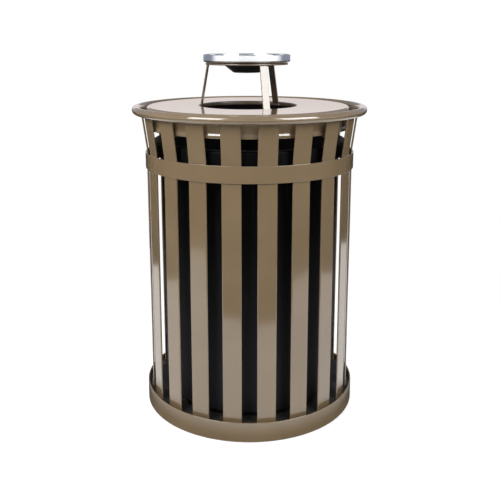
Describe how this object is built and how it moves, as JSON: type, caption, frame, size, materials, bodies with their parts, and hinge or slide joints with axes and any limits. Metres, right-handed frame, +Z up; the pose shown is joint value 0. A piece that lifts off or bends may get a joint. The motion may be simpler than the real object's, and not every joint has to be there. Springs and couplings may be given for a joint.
{
  "type": "outdoor trash can",
  "caption": "Round outdoor litter receptacle: upright steel slats, rolled rim, plastic liner, flat lid with a round hole, and an ash tray on legs above it.",
  "frame": {"origin": "centre of the footprint, on the floor under the leveller pads", "axes": "+Z up along the can's axis; -Y is the front, where a gap between two slats faces; +X is to the right seen from the front"},
  "size_m": [0.6559, 0.656, 1.0055],
  "materials": {
    "brown_coat": "glossy taupe-brown powder coat on steel",
    "liner_plastic": "black moulded polyethylene, lightly polished",
    "pan_steel": "spun stainless steel",
    "well_black": "satin black coat on steel",
    "zinc_steel": "bright zinc plate",
    "pad_rubber": "moulded black rubber"
  },
  "bodies": {
    "cage": {"rim_tube": "brown_coat", "upper_band": "brown_coat", "base_ring": "brown_coat", "bottom_plate": "brown_coat", "slat_01": "brown_coat", "slat_02": "brown_coat", "slat_03": "brown_coat", "slat_04": "brown_coat", "slat_05": "brown_coat", "slat_06": "brown_coat", "slat_07": "brown_coat", "slat_08": "brown_coat", "slat_09": "brown_coat", "slat_10": "brown_coat", "slat_11": "brown_coat", "slat_12": "brown_coat", "slat_13": "brown_coat", "slat_14": "brown_coat", "slat_15": "brown_coat", "slat_16": "brown_coat", "slat_17": "brown_coat", "slat_18": "brown_coat", "slat_19": "brown_coat", "slat_20": "brown_coat", "lid_lug_1": "brown_coat", "lid_lug_2": "brown_coat", "lid_lug_3": "brown_coat", "lid_lug_4": "brown_coat", "leveller_bush_1": "brown_coat", "leveller_bush_2": "brown_coat", "leveller_bush_3": "brown_coat", "leveller_bush_4": "brown_coat"},
    "liner": {"liner": "liner_plastic"},
    "lid": {"lid": "brown_coat", "tray_leg_1": "brown_coat", "tray_leg_2": "brown_coat", "tray_leg_3": "brown_coat", "tray_holder": "brown_coat"},
    "ash_well": {"ash_well": "well_black"},
    "ash_pan": {"ash_pan": "pan_steel"},
    "leveller_1": {"leveller_stud_1": "zinc_steel", "leveller_pad_1": "pad_rubber"},
    "leveller_2": {"leveller_stud_2": "zinc_steel", "leveller_pad_2": "pad_rubber"},
    "leveller_3": {"leveller_stud_3": "zinc_steel", "leveller_pad_3": "pad_rubber"},
    "leveller_4": {"leveller_stud_4": "zinc_steel", "leveller_pad_4": "pad_rubber"}
  },
  "joints": [
    {"name": "lid_lift", "type": "slide", "parent": "cage", "child": "lid", "axis": [0, 0, 1], "range_m": [0, 1.04]},
    {"name": "liner_lift", "type": "slide", "parent": "cage", "child": "liner", "axis": [0, 0, 1], "range_m": [0, 0.832]},
    {"name": "ash_pan_lift", "type": "slide", "parent": "lid", "child": "ash_pan", "axis": [0, 0, 1], "range_m": [0, 0.1]},
    {"name": "ash_well_lift", "type": "slide", "parent": "lid", "child": "ash_well", "axis": [0, 0, 1], "range_m": [0, 0.045]},
    {"name": "leveller_1_screw", "type": "slide", "parent": "cage", "child": "leveller_1", "axis": [0, 0, -1], "range_m": [0, 0.012]},
    {"name": "leveller_2_screw", "type": "slide", "parent": "cage", "child": "leveller_2", "axis": [0, 0, -1], "range_m": [0, 0.012]},
    {"name": "leveller_3_screw", "type": "slide", "parent": "cage", "child": "leveller_3", "axis": [0, 0, -1], "range_m": [0, 0.012]},
    {"name": "leveller_4_screw", "type": "slide", "parent": "cage", "child": "leveller_4", "axis": [0, 0, -1], "range_m": [0, 0.012]}
  ],
  "couplings": [
    {"joint": "liner_lift", "follows": "lid_lift", "ratio": 0.8},
    {"joint": "ash_well_lift", "follows": "ash_pan_lift", "ratio": 0.45}
  ]
}
